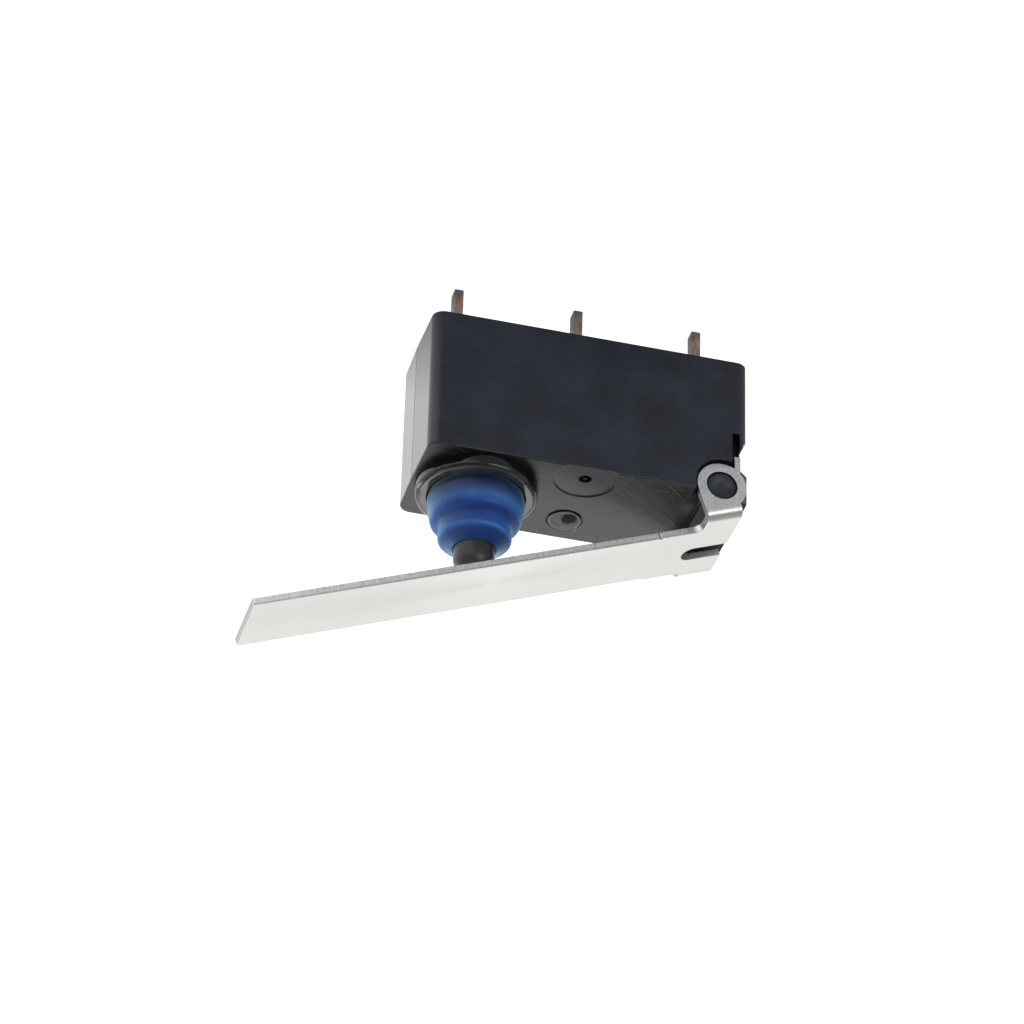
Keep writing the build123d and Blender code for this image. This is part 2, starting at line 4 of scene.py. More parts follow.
import bmesh
import bpy
from mathutils import Matrix, Vector
from mathutils.geometry import interpolate_bezier


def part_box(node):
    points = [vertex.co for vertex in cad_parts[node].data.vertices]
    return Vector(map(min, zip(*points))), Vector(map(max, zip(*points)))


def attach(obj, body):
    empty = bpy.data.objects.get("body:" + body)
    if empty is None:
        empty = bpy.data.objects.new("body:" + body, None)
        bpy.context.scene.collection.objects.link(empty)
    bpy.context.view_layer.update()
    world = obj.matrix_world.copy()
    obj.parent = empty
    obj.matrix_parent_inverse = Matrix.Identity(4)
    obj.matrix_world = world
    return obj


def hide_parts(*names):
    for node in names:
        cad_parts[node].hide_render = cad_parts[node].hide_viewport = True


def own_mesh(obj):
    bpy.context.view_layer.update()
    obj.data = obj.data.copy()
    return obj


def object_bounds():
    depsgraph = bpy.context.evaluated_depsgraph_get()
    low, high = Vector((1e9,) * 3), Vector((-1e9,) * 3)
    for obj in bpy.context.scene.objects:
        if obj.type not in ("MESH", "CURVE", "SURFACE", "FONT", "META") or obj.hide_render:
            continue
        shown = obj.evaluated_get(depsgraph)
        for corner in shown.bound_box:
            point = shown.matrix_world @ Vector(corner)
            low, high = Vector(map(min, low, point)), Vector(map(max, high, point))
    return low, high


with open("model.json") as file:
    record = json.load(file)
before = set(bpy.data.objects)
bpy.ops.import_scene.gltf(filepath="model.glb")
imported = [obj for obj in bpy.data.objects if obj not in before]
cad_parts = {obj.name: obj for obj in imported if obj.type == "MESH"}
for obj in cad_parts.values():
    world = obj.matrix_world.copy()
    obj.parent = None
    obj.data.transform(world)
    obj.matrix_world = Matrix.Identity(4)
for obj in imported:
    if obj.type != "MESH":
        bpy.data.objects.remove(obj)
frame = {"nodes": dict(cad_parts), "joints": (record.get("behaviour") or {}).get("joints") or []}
cad_low, cad_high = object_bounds()
nodes = frame["nodes"]
MM = 0.001

# Places that several pieces share, in mm and in the CAD frame
joints = {joint["name"]: joint for joint in frame["joints"]}
pivot = Vector(joints["lever_pivot"]["pos_m"]) / MM
top_z = joints["plunger_slide"]["deforming_nodes"][0]["fixed_end_z_m"] / MM
plunger_low, plunger_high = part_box("plunger")
plunger_x = (plunger_low.x + plunger_high.x) / 2 / MM
collar_top_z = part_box("collar")[1].z / MM
end_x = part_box("housing")[1].x / MM
front_y = cad_low.y / MM
pin_tip_z = cad_low.z / MM
lever_lean = math.radians(20.7)

# Camera at the photograph's place, solved from the case's edges and the terminals
photo_size_px = 1024
focal_px = 4564.76
sensor_width = 36.0
camera_eye = Vector((40.10, -148.63, 106.85))
camera_look = Vector((-0.20573, 0.81308, -0.54459)).normalized()
camera_top = Vector((0.16304, -0.52024, -0.83831))


def add_object(name, data):
    obj = bpy.data.objects.new(name, data)
    bpy.context.scene.collection.objects.link(obj)
    return obj


def add_camera():
    right = camera_look.cross(camera_top).normalized()
    top = right.cross(camera_look).normalized()
    data = bpy.data.cameras.new("photo_camera")
    data.sensor_width = sensor_width
    data.lens = focal_px / photo_size_px * sensor_width
    data.clip_start = 0.005
    data.clip_end = 20.0
    camera = add_object("photo_camera", data)
    turn = Matrix((right, top, -camera_look)).transposed().to_4x4()
    camera.matrix_world = Matrix.Translation(camera_eye * MM) @ turn
    bpy.context.scene.camera = camera


add_camera()
bpy.context.scene.view_settings.view_transform = "Standard"


def rgba(value):
    # a grey level or a colour, with full alpha
    if isinstance(value, (int, float)):
        value = (value, value, value)
    return (*value, 1.0)


# Node helpers
class Nodes:
    # short ways to add nodes to a tree and to link them

    def __init__(self, tree):
        self.tree = tree

    def node(self, kind, **settings):
        node = self.tree.nodes.new("ShaderNode" + kind)
        for key, value in settings.items():
            setattr(node, key, value)
        return node

    def feed(self, socket, value):
        # a link where the value is an output of another node, and a set value elsewhere
        if isinstance(value, bpy.types.NodeSocket):
            self.tree.links.new(value, socket)
        elif socket.type == "RGBA":
            socket.default_value = rgba(value)
        else:
            socket.default_value = value

    def feed_all(self, node, **values):
        # sockets by name, with _ for each space
        for key, value in values.items():
            self.feed(node.inputs[key.replace("_", " ")], value)

    def calc(self, operation, first, second=0.0):
        node = self.node("Math", operation=operation)
        self.feed(node.inputs[0], first)
        self.feed(node.inputs[1], second)
        return node.outputs[0]

    def vector_calc(self, operation, first, second, output="Value"):
        node = self.node("VectorMath", operation=operation)
        self.feed(node.inputs[0], first)
        self.feed(node.inputs[1], second)
        return node.outputs[output]

    def chain(self, operation, first, *others):
        result = first
        for value in others:
            result = self.calc(operation, result, value)
        return result

    def times(self, *values):
        return self.chain("MULTIPLY", *values)

    def total(self, *values):
        return self.chain("ADD", *values)

    def most(self, *values):
        return self.chain("MAXIMUM", *values)

    def magnitude(self, value):
        return self.calc("ABSOLUTE", value)

    def parts(self, vector):
        node = self.node("SeparateXYZ")
        self.feed(node.inputs[0], vector)
        return node.outputs[0], node.outputs[1], node.outputs[2]

    def fade(self, source, low, high, at_low=0.0, at_high=1.0, soft=False):
        # from one value to another while the source goes from low to high
        node = self.node("MapRange", interpolation_type="SMOOTHSTEP" if soft else "LINEAR")
        self.feed_all(node, Value=source, From_Min=low, From_Max=high, To_Min=at_low, To_Max=at_high)
        return node.outputs["Result"]


class Shader(Nodes):
    # one material with a Principled shader; places and lengths are in mm, noise scales per metre

    def __init__(self, name):
        self.material = bpy.data.materials.new(name)
        self.material.use_nodes = True
        super().__init__(self.material.node_tree)
        self.bsdf = self.tree.nodes["Principled BSDF"]
        coordinates = self.node("TexCoord")
        self.place = coordinates.outputs["Object"]
        self.normal = coordinates.outputs["Normal"]
        self.place_mm = self.vector_calc("MULTIPLY", self.place, (1 / MM, 1 / MM, 1 / MM), "Vector")
        self.tone = None

    def put(self, **values):
        self.feed_all(self.bsdf, **values)

    def mapped(self, vector, setting, value):
        node = self.node("Mapping")
        self.feed_all(node, Vector=vector, **{setting: value})
        return node.outputs["Vector"]

    def noise(self, scale, detail=3.0, rough=0.5, vector=None, distort=0.0):
        node = self.node("TexNoise")
        self.feed_all(node, Scale=scale, Detail=detail, Roughness=rough, Distortion=distort)
        self.feed_all(node, Vector=self.place if vector is None else vector)
        return node.outputs["Fac"]

    def streaks(self, scales, detail, rough, spin=0.0, distort=0.0):
        # noise with its own scale on each axis, after a turn about Z
        turned = self.mapped(self.place, "Rotation", (0, 0, spin)) if spin else self.place
        return self.noise(1.0, detail, rough, self.mapped(turned, "Scale", scales), distort)

    def ramp(self, source, *stops):
        node = self.node("ValToRGB")
        elements = node.color_ramp.elements
        while len(elements) < len(stops):
            elements.new(0.5)
        for element, (at, colour) in zip(elements, stops):
            element.position = at
            element.color = rgba(colour)
        self.feed(node.inputs["Fac"], source)
        return node.outputs["Color"]

    def mix(self, factor, first, second, blend="MIX"):
        node = self.node("Mix", data_type="RGBA", blend_type=blend)
        factor_socket, first_socket, second_socket = node.inputs[0], node.inputs[6], node.inputs[7]
        self.feed(factor_socket, factor)
        self.feed(first_socket, first)
        self.feed(second_socket, second)
        return node.outputs[2]

    def paint(self, mask, colour, amount=1.0, blend="MIX"):
        # lays a colour over the tone so far, as strongly as the mask says
        factor = mask if amount == 1.0 else self.times(mask, amount)
        self.tone = self.mix(factor, self.tone, colour, blend)

    def far_from(self, point):
        return self.vector_calc("DISTANCE", self.place_mm, point)

    def along(self, direction, point):
        # how far the surface lies from a point along a direction
        reached = self.vector_calc("DOT_PRODUCT", self.place_mm, direction)
        return self.calc("SUBTRACT", reached, Vector(direction).dot(Vector(point)))

    def disc(self, away, radius, soft):
        # 1 within a distance and 0 outside it, with a soft edge
        return self.fade(away, radius - soft, radius + soft, 1.0, 0.0)

    def line(self, source, at, half_width):
        # 1 on a thin line where the source passes a value, and 0 away from it
        return self.fade(self.magnitude(self.calc("SUBTRACT", source, at)), 0.0, half_width, 1.0, 0.0)

    def rounded_normal(self, radius):
        node = self.node("Bevel", samples=6)
        self.feed_all(node, Radius=radius * MM)
        return node.outputs["Normal"]

    def worn(self, radius, low, high):
        # 1 on the sharp edges of the mesh and 0 on its flat parts
        flat = self.node("NewGeometry").outputs["Normal"]
        agreement = self.vector_calc("DOT_PRODUCT", self.rounded_normal(radius), flat)
        return self.fade(agreement, low, high, 1.0, 0.0)

    def bump(self, height, strength, depth=0.01, rounding=0.0):
        # relief of the surface, with the mesh's edges softened by a small rounding
        node = self.node("Bump")
        self.feed_all(node, Height=height, Strength=strength, Distance=depth * MM)
        if rounding:
            self.feed_all(node, Normal=self.rounded_normal(rounding))
        self.put(Normal=node.outputs["Normal"])


def dress(obj, shader):
    obj.data.materials.clear()
    obj.data.materials.append(shader.material)


# Case
class CaseFinish(Shader):
    # moulded black plastic: satin sides, a drawn plunger side, lined ends, marks and wear, with painted
    # highlights and painted shade

    def __init__(self):
        super().__init__("case_black")
        self.x, self.y, self.z = self.parts(self.place_mm)
        self.find_faces()
        self.cloud = self.noise(420, 5, 0.65)
        self.fine = self.noise(1400, 4, 0.65)
        self.drawn = self.streaks((500, 9000, 500), 5, 0.65)
        self.lined = self.streaks((9000, 9000, 250), 4, 0.6)
        side_tone = self.ramp(self.cloud, (0.3, (0.008, 0.012, 0.021)), (0.7, (0.029, 0.037, 0.060)))
        top_tone = self.ramp(self.drawn, (0.36, 0.004), (0.52, 0.009), (0.68, (0.044, 0.043, 0.040)))
        self.tone = self.mix(self.on_top, side_tone, top_tone)
        self.scuff_and_scratch()
        self.mark_gate()
        self.mark_vent()
        self.paint_pivot_lug_highlights()
        self.darken_front()
        self.paint_bracket_shade()
        self.mark_parting_line()
        self.paint_edge_wear_and_highlight()
        self.put(Base_Color=self.tone, Roughness=self.roughness(), IOR=1.5)
        self.bump(self.relief(), 0.28, rounding=0.04)

    def find_faces(self):
        normal_x, _, normal_z = self.parts(self.normal)
        self.upper = self.fade(self.z, top_z - 0.10, top_z - 0.01)
        self.on_top = self.times(self.upper, self.fade(normal_z, 0.6, 0.9))
        outmost = self.fade(self.magnitude(self.x), end_x - 0.20, end_x - 0.05)
        self.on_end = self.times(outmost, self.fade(self.magnitude(normal_x), 0.7, 0.95))

    def scuff_and_scratch(self):
        scuffs = self.fade(self.streaks((2600, 2600, 260), 5, 0.7, distort=0.4), 0.66, 0.74)
        self.paint(scuffs, (0.075, 0.078, 0.085), 0.35)
        # scratches lie askew on the plunger side, most of them near the pivot
        scratches = self.fade(self.streaks((700, 9000, 700), 3, 0.6, spin=0.75), 0.58, 0.70)
        near_pivot = self.fade(self.x, -3.0, 1.0, 1.0, 0.25)
        self.scratches = self.times(scratches, self.on_top, near_pivot)
        self.paint(self.scratches, (0.16, 0.155, 0.145), 0.75)

    def mark_gate(self):
        # smooth round disc of the moulding gate, with painted shade in its pit and a painted glint at the
        # case's front edge
        disc_radius = 1.25
        pit_radius = 0.27
        glint_x = -1.03
        glint_y = front_y + 0.04
        away = self.far_from((-0.03, -1.79, top_z))
        disc_tone = self.ramp(self.fine, (0.35, (0.026, 0.026, 0.025)), (0.65, (0.046, 0.046, 0.044)))
        self.paint(self.times(self.disc(away, disc_radius, 0.03), self.on_top), disc_tone, 0.8)
        # painted shade in the gate's pit
        self.gate_pit_shade = self.disc(away, pit_radius, 0.05)
        self.paint(self.times(self.gate_pit_shade, self.fade(self.fine, 0.35, 0.6, 1.0, 0.75)), 0.005)
        # painted glint where the gate's recess meets the front edge
        glint = self.times(self.line(self.y, glint_y, 0.06), self.line(self.x, glint_x, 0.24))
        self.paint(self.times(glint, self.on_top), 0.30)

    def mark_vent(self):
        # closed vent: a painted highlight on its rim, a painted shadow in the gap behind it, painted shade
        # on the near side of its top and a painted highlight on a burr beside it
        rim_radius = 0.63
        gap_radius = 0.74
        dome_shade_radius = 0.31
        burr_x = -0.63
        burr_y = 1.78
        away = self.far_from((-0.02, 1.27, top_z + 0.05))
        rim_highlight_strength = self.fade(self.y, 0.9, 1.5, 0.35, 1.0)
        # painted highlight on the rim, stronger towards its far side
        self.paint(self.times(self.line(away, rim_radius, 0.06), rim_highlight_strength), (0.15, 0.15, 0.145))
        # painted shadow in the gap round the far side of the rim
        self.vent_gap_shadow = self.times(self.line(away, gap_radius, 0.06), self.fade(self.y, 1.25, 1.55))
        self.paint(self.vent_gap_shadow, 0.003)
        # painted shade on the near side of the vent's domed top
        self.vent_dome_shade = self.disc(self.far_from((-0.14, 1.01, top_z + 0.08)), dome_shade_radius, 0.05)
        self.paint(self.vent_dome_shade, 0.002)
        # painted highlight along a burr beside the vent
        burr_highlight = self.times(self.line(self.x, burr_x, 0.06), self.line(self.y, burr_y, 0.40))
        self.paint(self.times(burr_highlight, self.on_top), 0.22)

    def paint_pivot_lug_highlights(self):
        # painted highlight in a ring round the middle of the boss, and a painted highlight on the sides of
        # the lug's far corner
        boss_face = (pivot.x, front_y, pivot.z)
        boss_highlight_radius = 0.34
        ring = self.line(self.far_from(boss_face), boss_highlight_radius, 0.22)
        self.paint(self.times(ring, self.fade(self.noise(1500, 3), 0.42, 0.62)), (0.12, 0.122, 0.13), 0.7)
        # painted highlight on the sides of the lug's far corner
        corner = self.times(self.fade(self.x, -6.40, -6.20, 1.0, 0.0), self.fade(self.z, 4.8, 5.4))
        lug_sides = self.fade(self.magnitude(self.y), 1.8, 2.1)
        self.paint(self.times(corner, lug_sides), (0.20, 0.20, 0.205), 0.8)

    def darken_front(self):
        # faint dark blotch on the front face
        blotch = self.fade(self.far_from((-2.7, front_y, 3.2)), 0.3, 1.3, 0.55, 0.0)
        self.paint(self.times(blotch, self.fade(self.cloud, 0.4, 0.6, 0.4, 1.0)), (0.006, 0.006, 0.007))

    def paint_bracket_shade(self):
        # painted shade: the plunger side is painted darker, and is dull, where the lever's bracket covers
        # it
        near_lug = self.times(self.fade(self.x, -4.8, -4.3, 1.0, 0.0), self.upper)
        on_lug = self.fade(self.z, top_z + 0.02, top_z + 0.06)
        under_arm = self.fade(self.y, -1.2, -0.5, 0.1, 1.0)
        self.bracket_shade = self.times(near_lug, self.most(on_lug, under_arm))
        self.paint(self.bracket_shade, 0.004, 0.8)

    def mark_parting_line(self):
        parting_y = 0.15
        self.parting = self.times(self.line(self.y, parting_y, 0.05), self.on_end)
        self.paint(self.parting, (0.006, 0.006, 0.007), 0.8)

    def paint_edge_wear_and_highlight(self):
        # the sharp edges lighter in patches: partly edge wear, partly a painted edge highlight
        patches = self.fade(self.noise(2600, 4), 0.40, 0.62, 0.15, 0.75)
        self.paint(self.times(self.worn(0.06, 0.80, 0.96), patches), (0.085, 0.086, 0.090))

    def roughness(self):
        side = self.fade(self.noise(700, 4), 0.3, 0.7, 0.30, 0.42)
        top = self.fade(self.drawn, 0.3, 0.7, 0.30, 0.46)
        end = self.mix(self.parting, self.fade(self.lined, 0.3, 0.7, 0.10, 0.22), 0.55)
        shaded = self.times(self.bracket_shade, 0.8)
        dull = self.most(self.gate_pit_shade, self.vent_dome_shade, self.vent_gap_shadow, shaded)
        faces = self.mix(self.on_top, side, top)
        faces = self.mix(self.times(dull, self.on_top), faces, 0.85)
        return self.mix(self.on_end, faces, end)

    def relief(self):
        return self.total(
            self.times(self.noise(6500, 3, 0.6), 0.9),
            self.times(self.fine, 0.9),
            self.times(self.drawn, 2.6, self.on_top),
            self.times(self.lined, 1.1, self.on_end),
            self.times(self.scratches, 1.6),
            self.times(self.parting, -3.0),
        )


# Collar
def collar_finish():
    # glossy black ring, its flat crown painted lighter in patches as a painted highlight
    collar = Shader("collar_black")
    _, _, z = collar.parts(collar.place_mm)
    highlit_crown = collar.fade(z, collar_top_z - 0.10, collar_top_z - 0.01)
    patches = collar.fade(collar.noise(700, 3), 0.3, 0.6, 0.5, 1.0)
    mottle = collar.noise(300, 3)
    collar.tone = collar.ramp(mottle, (0.3, (0.005, 0.005, 0.0058)), (0.7, (0.009, 0.009, 0.010)))
    # painted highlight on the flat crown
    collar.paint(collar.times(highlit_crown, patches), (0.085, 0.085, 0.092))
    roughness = collar.fade(collar.noise(900, 4), 0.3, 0.7, 0.06, 0.13)
    collar.put(Base_Color=collar.tone, Roughness=roughness, IOR=1.5)
    collar.bump(collar.noise(2500, 3), 0.10)
    return collar


# Boot
def boot_finish():
    # soft translucent blue rubber, with painted highlights on its shoulders, painted shade in its folds and
    # at its root beside the collar, and darker towards the plunger
    boot = Shader("boot_blue")
    _, _, z = boot.parts(boot.place_mm)
    mottled = boot.noise(850, 4, 0.6)
    boot.tone = boot.ramp(mottled, (0.3, (0.010, 0.060, 0.31)), (0.7, (0.020, 0.115, 0.50)))
    pale_highlight = boot.ramp(mottled, (0.3, (0.045, 0.23, 0.60)), (0.7, (0.085, 0.35, 0.82)))
    # painted highlights on the shoulders of the two tiers
    lower_shoulder_highlight = boot.line(z, 7.80, 0.38)
    upper_shoulder_highlight = boot.line(z, 8.98, 0.16)
    boot.paint(boot.most(lower_shoulder_highlight, upper_shoulder_highlight), pale_highlight, 0.6)
    # painted shade in the two folds
    lower_fold_shade = boot.line(z, 8.30, 0.10)
    upper_fold_shade = boot.line(z, 9.12, 0.10)
    boot.paint(boot.most(lower_fold_shade, upper_fold_shade), (0.006, 0.030, 0.17), 0.45)
    near_plunger = boot.fade(z, 9.00, 9.25, 0.0, 0.55)
    boot.paint(near_plunger, (0.006, 0.034, 0.20))
    # painted shade at the root, where the collar shades the boot
    root_shade = boot.fade(z, 7.25, 7.88, 0.96, 0.0)
    boot.paint(root_shade, (0.001, 0.002, 0.045))
    roughness = boot.fade(boot.noise(1800, 4), 0.3, 0.7, 0.32, 0.46)
    boot.put(Base_Color=boot.tone, Roughness=roughness, IOR=1.42)
    boot.put(Subsurface_Weight=0.75, Subsurface_Radius=(0.0002, 0.0009, 0.0015), Subsurface_Scale=0.5)
    boot.put(Sheen_Weight=1.0, Sheen_Roughness=0.42, Sheen_Tint=(0.38, 0.84, 1.0))
    boot.bump(boot.total(boot.noise(5000, 3), boot.times(boot.noise(900, 4), 1.2)), 0.22)
    return boot


# Plunger
def plunger_finish():
    # dark grey moulding with a soft sheen
    plunger = Shader("plunger_dark")
    tone = plunger.ramp(plunger.noise(400, 3), (0.3, (0.020, 0.020, 0.024)), (0.7, (0.040, 0.040, 0.047)))
    roughness = plunger.fade(plunger.noise(900, 4), 0.3, 0.7, 0.30, 0.42)
    plunger.put(Base_Color=tone, Roughness=roughness, IOR=1.5)
    plunger.bump(plunger.noise(4500, 3), 0.2)
    return plunger


# Lever
class LeverFinish(Shader):
    # rolled steel strip, its sheared edges greyer, rougher and streaked across the sheet

    # mm along the arm from the pivot, through the sheet to its outer face, and across the arm
    root_step = (2.94, 2.97)
    nick_u = 2.85
    slot_end = (0.8, 1.1)
    outer_face = 1.39
    slot_wall_y = 0.84
    far_edge = (1.745, 1.785)

    def __init__(self):
        super().__init__("lever_steel")
        normal_x, normal_y, normal_z = self.parts(self.normal)
        _, self.y, _ = self.parts(self.place_mm)
        self.u = self.along((math.cos(lever_lean), 0, math.sin(lever_lean)), pivot)
        self.w = self.along((-math.sin(lever_lean), 0, math.cos(lever_lean)), pivot)
        self.end_cut = self.fade(normal_x, 0.84, 0.92)
        self.sheared = self.most(self.fade(self.magnitude(normal_y), 0.75, 0.95), self.end_cut)
        self.pits = self.noise(9000, 4, 0.7)
        brushed = self.streaks((500, 12000, 500), 4, 0.6)
        streaks = self.streaks((7000, 600, 1300), 5, 0.7)
        torn_metal = self.total(self.times(streaks, 0.35), self.times(self.pits, 0.65))
        plate_tone = self.plate_tone()
        edge_tone = self.edge_tone(torn_metal)
        tone = self.mix(self.most(self.sheared, self.nick), plate_tone, edge_tone)
        plate_roughness = self.fade(brushed, 0.3, 0.7, 0.28, 0.34)
        edge_roughness = self.fade(torn_metal, 0.3, 0.7, 0.34, 0.5)
        roughness = self.mix(self.sheared, plate_roughness, edge_roughness)
        self.put(Base_Color=tone, Roughness=roughness, Metallic=1.0, Anisotropic=0.3)
        # the bend between the plate and the ears is finely hammered
        off_plate = self.fade(self.magnitude(normal_y), 0.3, 0.6)
        on_bend = self.times(self.line(normal_z, 0.40, 0.45), off_plate)
        relief = self.total(
            self.times(brushed, 0.35),
            self.times(self.pits, 0.7),
            self.times(torn_metal, 1.5, self.sheared),
            self.times(self.noise(11000, 2, 0.6), 6.0, on_bend),
        )
        self.bump(relief, 0.16, rounding=0.03)

    def plate_tone(self):
        field = self.total(self.times(self.noise(260, 5, 0.6), 0.5), self.times(self.pits, 0.5))
        self.tone = self.ramp(field, (0.3, (0.83, 0.83, 0.80)), (0.7, (0.89, 0.89, 0.86)))
        # painted shade: the plate darker towards its tip and towards its far edge
        self.paint(self.fade(self.u, 4.0, 20.0), (0.93, 0.93, 0.925), blend="MULTIPLY")
        self.paint(self.fade(self.y, -1.4, 1.8), 0.94, blend="MULTIPLY")
        # painted shade along the burr on the far edge, where the arm is 0.1 mm narrower than its root
        from_middle = self.calc("SUBTRACT", self.y, self.fade(self.u, *self.root_step, 0.10, 0.0))
        far_edge_shade = self.fade(from_middle, *self.far_edge)
        past_root = self.fade(self.u, *self.root_step, 0.2, 1.0)
        patches = self.fade(self.noise(3200, 4), 0.35, 0.6, 0.35, 1.0)
        self.paint(self.times(far_edge_shade, patches, past_root), 0.40, 0.6)
        return self.tone

    def edge_tone(self, torn_metal):
        light_stops = ((0.36, (0.60, 0.60, 0.615)), (0.5, (0.82, 0.82, 0.84)), (0.64, (0.97, 0.97, 0.98)))
        self.tone = self.ramp(torn_metal, *light_stops)
        self.paint(self.end_cut, 0.34)
        # the cut is torn and darker near the outer face, under one bright line
        outer_zone = self.fade(self.w, self.outer_face - 0.10, self.outer_face - 0.06)
        self.paint(self.times(outer_zone, self.fade(self.u, 2.8, 3.2, 0.3, 1.0)), (0.36, 0.36, 0.37), 0.5)
        self.paint(self.line(self.w, self.outer_face - 0.11, 0.02), 0.92, 0.5)
        near_edge = self.fade(self.y, -1.30, -1.25, 1.0, 0.0)
        self.nick = self.times(self.line(self.u, self.nick_u, 0.09), near_edge)
        self.paint(self.nick, 0.20)
        # painted highlight on the wall of the slot
        beside_slot = self.fade(self.u, *self.slot_end, 1.0, 0.0)
        slot_wall_highlight = self.times(beside_slot, self.line(self.y, self.slot_wall_y, 0.30))
        self.paint(slot_wall_highlight, (0.99, 0.99, 0.98), 0.8)
        return self.tone


# Terminals
def terminal_finish():
    # copper alloy, mottled on the bare cut faces, plated grey on the sides and tips
    terminal = Shader("terminal_metal")
    _, _, z = terminal.parts(terminal.place_mm)
    _, normal_y, _ = terminal.parts(terminal.normal)
    bare_stops = ((0.36, (0.36, 0.22, 0.16)), (0.5, (0.70, 0.48, 0.36)), (0.64, (0.94, 0.77, 0.67)))
    bare = terminal.ramp(terminal.streaks((3200, 3200, 900), 5, 0.65), *bare_stops)
    mottle = terminal.noise(1200, 4)
    terminal.tone = terminal.ramp(mottle, (0.3, (0.34, 0.33, 0.34)), (0.7, (0.50, 0.49, 0.50)))
    cut_face = terminal.fade(terminal.magnitude(normal_y), 0.6, 0.9)
    above_tip = terminal.fade(z, pin_tip_z + 0.15, pin_tip_z + 0.45)
    terminal.paint(terminal.times(cut_face, above_tip), bare)
    roughness = terminal.fade(terminal.noise(900, 4), 0.3, 0.7, 0.26, 0.42)
    terminal.put(Base_Color=terminal.tone, Roughness=roughness, Metallic=1.0)
    terminal.bump(terminal.streaks((9000, 9000, 500), 4, 0.6), 0.22, rounding=0.03)
    return terminal


# Pieces inside the case, each in two mottled tones
def inner_finish(name, mottle_scale, tones, **values):
    shader = Shader(name)
    dark, light = tones
    tone = shader.ramp(shader.noise(mottle_scale, 4), (0.3, dark), (0.7, light))
    shader.put(Base_Color=tone, **values)
    return shader


def silver_finish():
    tones = ((0.74, 0.73, 0.70), (0.84, 0.83, 0.80))
    silver = inner_finish("contact_silver", 900, tones, Metallic=1.0, Roughness=0.28)
    silver.bump(silver.noise(4000, 3), 0.1)
    return silver


def bronze_finish():
    tones = ((0.50, 0.29, 0.15), (0.60, 0.37, 0.20))
    bronze = inner_finish("blade_bronze", 500, tones, Metallic=1.0, Roughness=0.34)
    bronze.bump(bronze.streaks((500, 9000, 500), 4, 0.6), 0.12)
    return bronze


def drive_finish():
    tones = ((0.48, 0.48, 0.47), (0.58, 0.58, 0.57))
    drive = inner_finish("drive_steel", 500, tones, Metallic=1.0, Roughness=0.36)
    drive.bump(drive.streaks((700, 9000, 700), 4, 0.6), 0.12)
    return drive


def spring_finish():
    tones = ((0.42, 0.42, 0.43), (0.56, 0.56, 0.56))
    spring = inner_finish("spring_steel", 2500, tones, Metallic=1.0, Roughness=0.3)
    spring.bump(spring.noise(6000, 3), 0.1)
    return spring


def resin_finish():
    tones = ((0.010, 0.010, 0.012), (0.022, 0.021, 0.022))
    resin = inner_finish("resin", 350, tones, Roughness=0.18, IOR=1.5)
    resin.bump(resin.noise(420, 3), 0.5, depth=0.08)
    return resin


boot = boot_finish()
nodes_of_finish = [
    (CaseFinish(), ["housing", "base"]),
    (collar_finish(), ["collar"]),
    (boot, ["boot"]),
    (plunger_finish(), ["plunger"]),
    (LeverFinish(), ["lever"]),
    (resin_finish(), ["epoxy_seal"]),
    (terminal_finish(), ["com_terminal", "nc_terminal", "no_terminal"]),
    (silver_finish(), ["nc_fixed_contact", "no_fixed_contact", "nc_moving_contact", "no_moving_contact"]),
    (bronze_finish(), ["contact_arm"]),
    (drive_finish(), ["drive_arm"]),
    (spring_finish(), ["snap_spring"]),
]
for shader, names in nodes_of_finish:
    for name in names:
        dress(nodes[name], shader)

# Bellows in place of the boot's CAD node: radius and height of its outline in mm
lip_z = 9.315
foot = [(2.05, top_z), (2.05, 6.72), (1.86, 6.72), (1.74, 6.735), (1.735, 6.78)]
lower_tier = [
    (1.80, 6.85), (1.93, 7.01), (1.97, 7.28), (1.935, 7.58), (1.88, 7.86), (1.835, 8.09), (1.785, 8.195),
    (1.67, 8.265),
]
upper_tier = [
    (1.53, 8.334), (1.455, 8.40), (1.434, 8.50), (1.455, 8.65), (1.486, 8.87), (1.468, 8.99), (1.385, 9.06),
]
rolled_lip = [(1.22, 9.15), (0.985, 9.325), (0.90, 9.40), (0.878, 9.41), (0.864, 9.395), (0.862, 9.32)]
inside_wall = [
    (0.715, lip_z), (0.715, 8.975), (0.88, 8.965), (1.02, 8.86), (1.20, 8.70), (1.22, 8.50), (1.32, 8.30),
    (1.55, 8.05), (1.68, 7.60), (1.70, 7.20), (1.60, 6.95), (1.43, 6.72), (1.43, top_z),
]


def smooth_curve(knots, steps=3):
    # a curve through the knots, parallel at each to the line between its two neighbours
    places = [Vector(knot) for knot in knots]
    padded = [places[0], *places, places[-1]]
    headings = [(after - before).normalized() for before, after in zip(padded, padded[2:])]
    curve = []
    for i, (start, end) in enumerate(zip(places, places[1:])):
        third = (end - start).length / 3
        leaving = start + headings[i] * third
        arriving = end - headings[i + 1] * third
        curve += interpolate_bezier(start, leaving, arriving, end, steps + 1)[:-1]
    return [*curve, places[-1]]


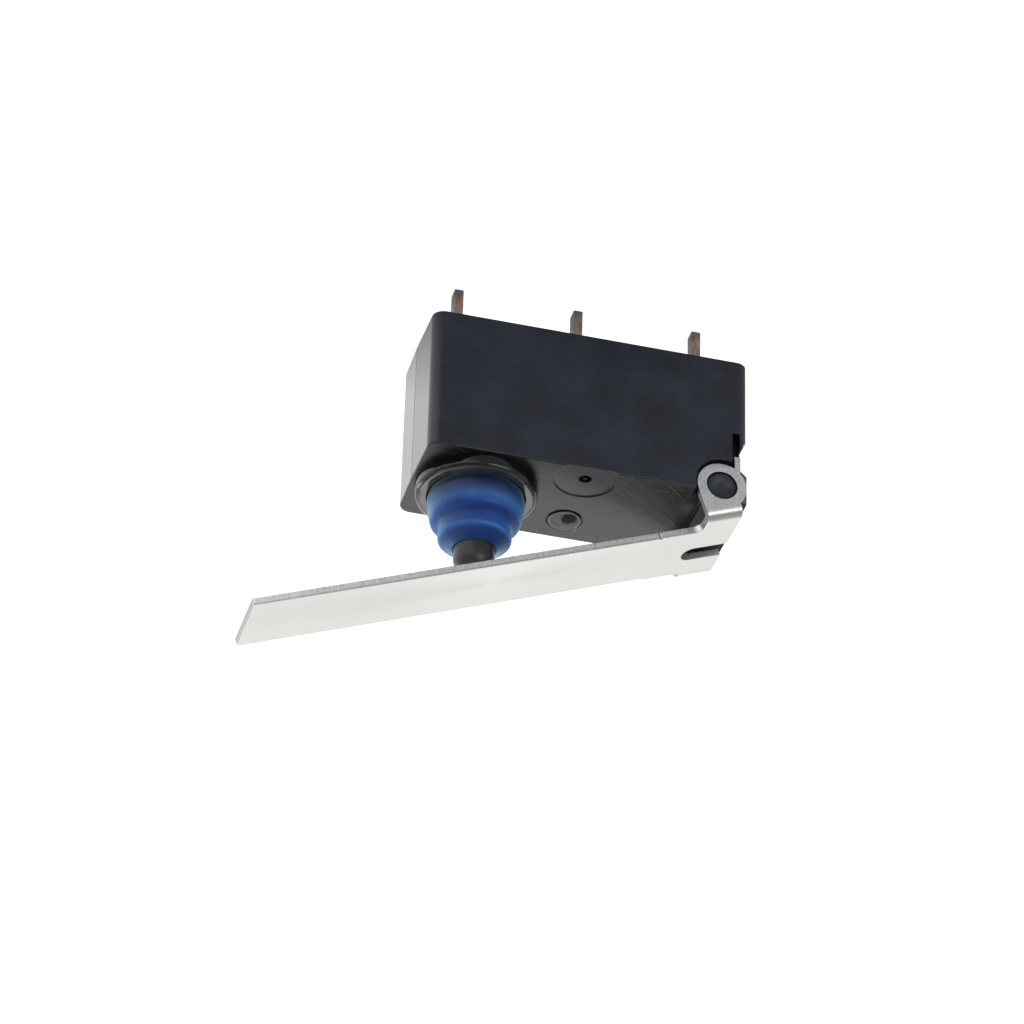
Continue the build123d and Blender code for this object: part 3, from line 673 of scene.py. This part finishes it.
def revolved(name, profile, axis_x, steps=96):
    # a closed outline turned about an upright axis
    bm = bmesh.new()
    rings = []
    for k in range(steps):
        angle = 2 * math.pi * k / steps
        ring = []
        for radius, z in profile:
            place = (axis_x + radius * math.cos(angle), radius * math.sin(angle), z)
            ring.append(bm.verts.new(Vector(place) * MM))
        rings.append(ring)
    for k, ring in enumerate(rings):
        after = rings[(k + 1) % steps]
        for i in range(len(profile)):
            j = (i + 1) % len(profile)
            bm.faces.new((ring[i], after[i], after[j], ring[j]))
    bmesh.ops.recalc_face_normals(bm, faces=bm.faces)
    for face in bm.faces:
        face.smooth = True
    mesh = bpy.data.meshes.new(name)
    bm.to_mesh(mesh)
    bm.free()
    return add_object(name, mesh)


folds = smooth_curve(lower_tier + upper_tier + rolled_lip)
bellows = revolved("boot_bellows", foot + folds + inside_wall, plunger_x)
dress(bellows, boot)
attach(bellows, "case")
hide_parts("boot")
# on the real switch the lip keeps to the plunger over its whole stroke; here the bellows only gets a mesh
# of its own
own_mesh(bellows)


# Floor just under the pin tips, with its own sizes in metres
def floor_finish():
    # white to the camera; it also glows in glossy reflections, more behind and beside the object than in
    # front
    ground = Shader("floor_white")
    ground.put(Roughness=0.9, Base_Color=0.62, Specular_IOR_Level=0.0)
    x, y, _ = ground.parts(ground.place_mm)
    behind = ground.fade(y, 1.0, 8.0, 0.04, 1.0)
    beside = ground.fade(x, 8.0, 16.0)
    rays = ground.node("LightPath").outputs
    reflected_glow = ground.times(rays["Is Glossy Ray"], ground.most(behind, beside))
    direct = ground.times(rays["Is Camera Ray"], 0.85)
    through = ground.times(rays["Is Transmission Ray"], 0.5)
    glow = ground.node("Emission")
    ground.feed_all(glow, Color=1.0, Strength=ground.total(direct, reflected_glow, through))
    both = ground.node("AddShader")
    ground.feed(both.inputs[0], ground.bsdf.outputs[0])
    ground.feed(both.inputs[1], glow.outputs[0])
    ground.feed(ground.tree.nodes["Material Output"].inputs["Surface"], both.outputs[0])
    return ground


floor_reach = 0.8
floor_gap = 0.02 * MM
floor_z = cad_low.z - floor_gap
corners = [
    (-floor_reach, -floor_reach, floor_z),
    (floor_reach, -floor_reach, floor_z),
    (floor_reach, floor_reach, floor_z),
    (-floor_reach, floor_reach, floor_z),
]
floor_mesh = bpy.data.meshes.new("floor")
floor_mesh.from_pydata(corners, [], [(0, 1, 2, 3)])
floor = add_object("floor", floor_mesh)
dress(floor, floor_finish())


# World
def add_world():
    # pale light all round, brighter behind the object than on the camera's side
    world = bpy.data.worlds.new("studio")
    bpy.context.scene.world = world
    world.use_nodes = True
    air = Nodes(world.node_tree)
    way = air.node("TexCoord").outputs["Generated"]
    _, way_y, way_z = air.parts(way)

    def patch(direction, low, high, at_low, at_high):
        # a soft round patch of the sky about one direction
        nearness = air.vector_calc("DOT_PRODUCT", way, Vector(direction).normalized())
        return air.fade(nearness, low, high, at_low, at_high, soft=True)

    depth = air.fade(way_y, -0.7, 0.6, 0.42, 1.0, soft=True)
    overhead = air.fade(way_z, 0.30, 0.54, 1.0, 0.46, soft=True)
    dark_card = patch((-0.676, 0.272, 0.687), 0.80, 0.90, 1.0, 0.85)
    low_window = patch((-0.444, -0.874, 0.115), 0.90, 0.975, 0.0, 2.3)
    level = air.total(air.times(depth, overhead, dark_card), low_window)
    seen = air.node("LightPath").outputs["Is Camera Ray"]
    air.feed_all(world.node_tree.nodes["Background"], Color=1.0, Strength=air.most(level, seen))


# Lamps aimed at the middle of the case, with their places and sizes in metres
lamp_aim = Vector((0, 0, 0.003))


def add_soft_lamp(name, place, power, width, length):
    data = bpy.data.lights.new(name, "AREA")
    data.energy = power
    data.shape = "RECTANGLE"
    data.size = width
    data.size_y = length
    lamp = add_object(name, data)
    lamp.location = place
    lamp.rotation_euler = (lamp_aim - Vector(place)).to_track_quat("-Z", "Y").to_euler()


add_world()
add_soft_lamp("key_softbox", (-0.02, 0.14, 0.176), 0.16, 0.14, 0.14)
add_soft_lamp("side_strip", (0.16, 0.18, 0.03), 0.12, 0.06, 0.20)
